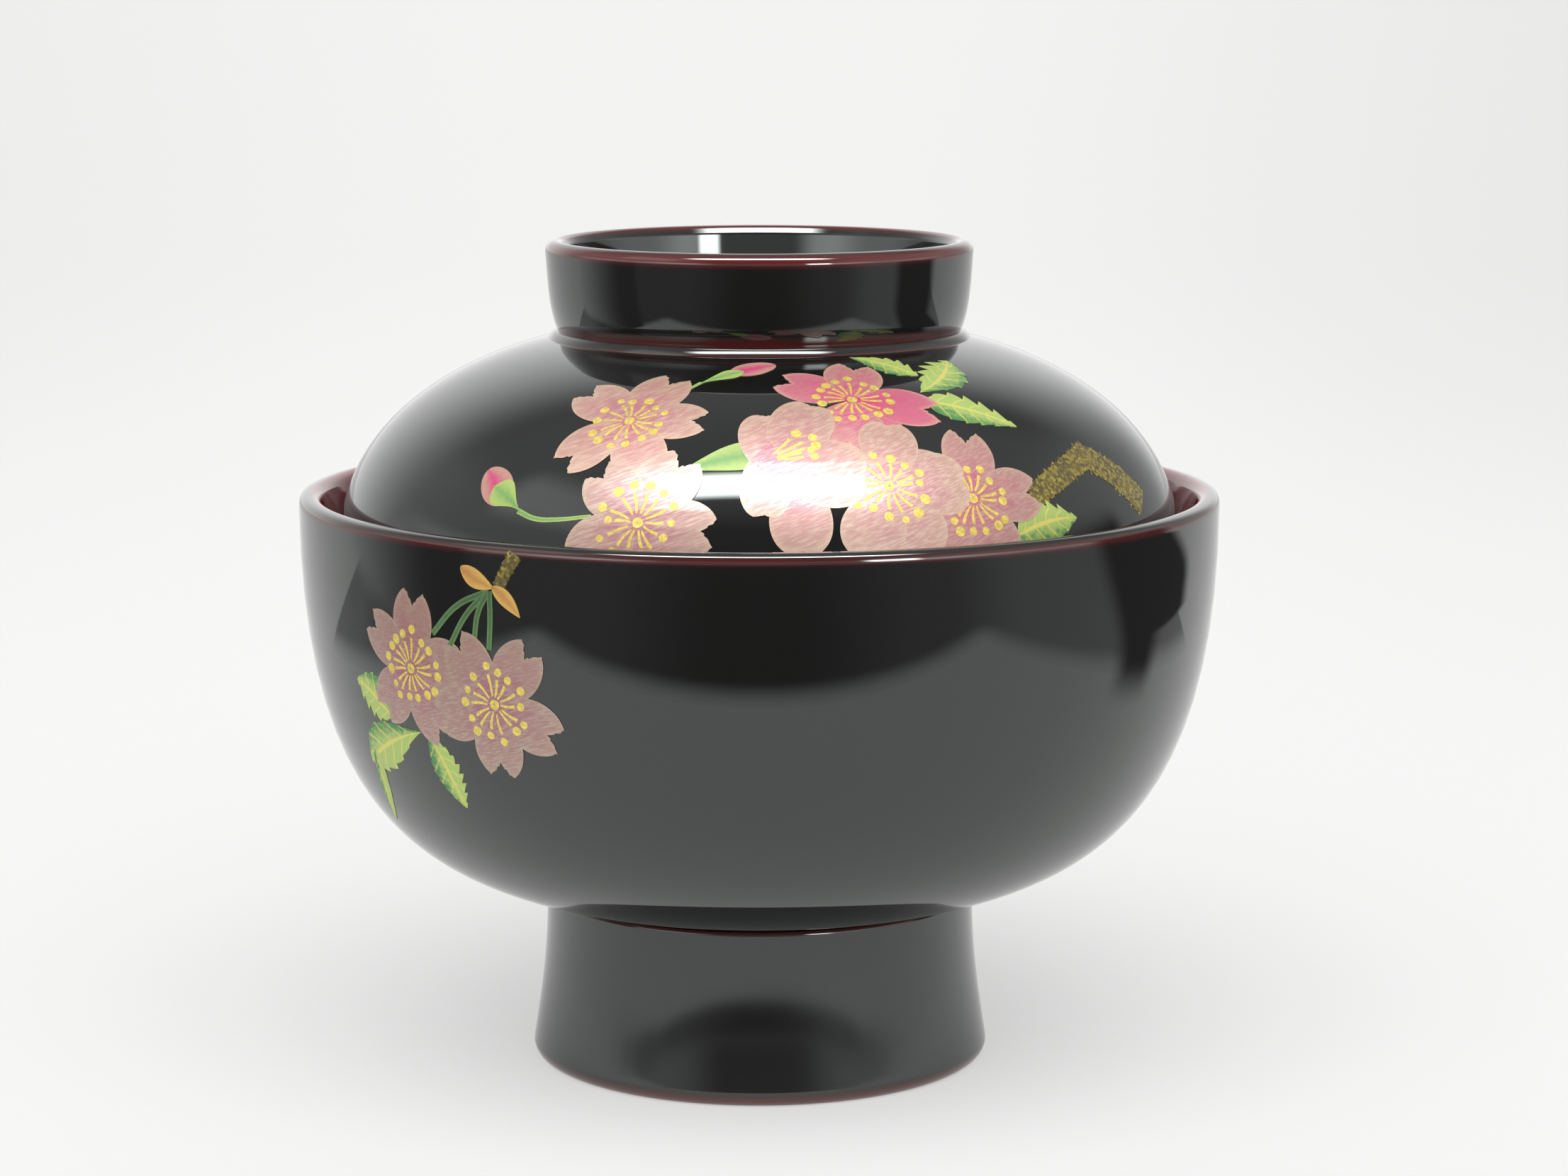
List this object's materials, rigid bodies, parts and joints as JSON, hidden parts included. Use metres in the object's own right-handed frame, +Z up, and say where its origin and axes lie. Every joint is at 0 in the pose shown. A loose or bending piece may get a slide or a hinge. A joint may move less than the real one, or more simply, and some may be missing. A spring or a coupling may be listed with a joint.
{
  "type": "lidded soup bowl",
  "caption": "Round lacquered wooden soup bowl on a tall foot, with a domed lid that sits inside the rim and lifts off by its ring handle.",
  "frame": {"origin": "centre of the foot's standing plane", "axes": "+Z up along the axis of revolution, -Y towards the viewer in the picture"},
  "size_m": [0.12, 0.12, 0.108],
  "materials": {
    "wood": "turned, fine closed grain",
    "dark_lacquer": "mirror gloss, red showing through where the coat is thin",
    "red_lacquer": "mirror gloss"
  },
  "bodies": {
    "bowl": {"bowl_core": "wood", "foot": "wood", "bowl_outer_coat": "dark_lacquer", "bowl_inner_coat": "red_lacquer", "foot_outer_coat": "dark_lacquer", "foot_recess_coat": "dark_lacquer"},
    "lid": {"lid_core": "wood", "lid_ring": "wood", "lid_outer_coat": "dark_lacquer", "lid_inner_coat": "red_lacquer", "lid_ring_coat": "dark_lacquer"}
  },
  "joints": [
    {"name": "lid_lift", "type": "slide", "parent": "bowl", "child": "lid", "axis": [0, 0, 1], "range_m": [0, 0.1]}
  ]
}
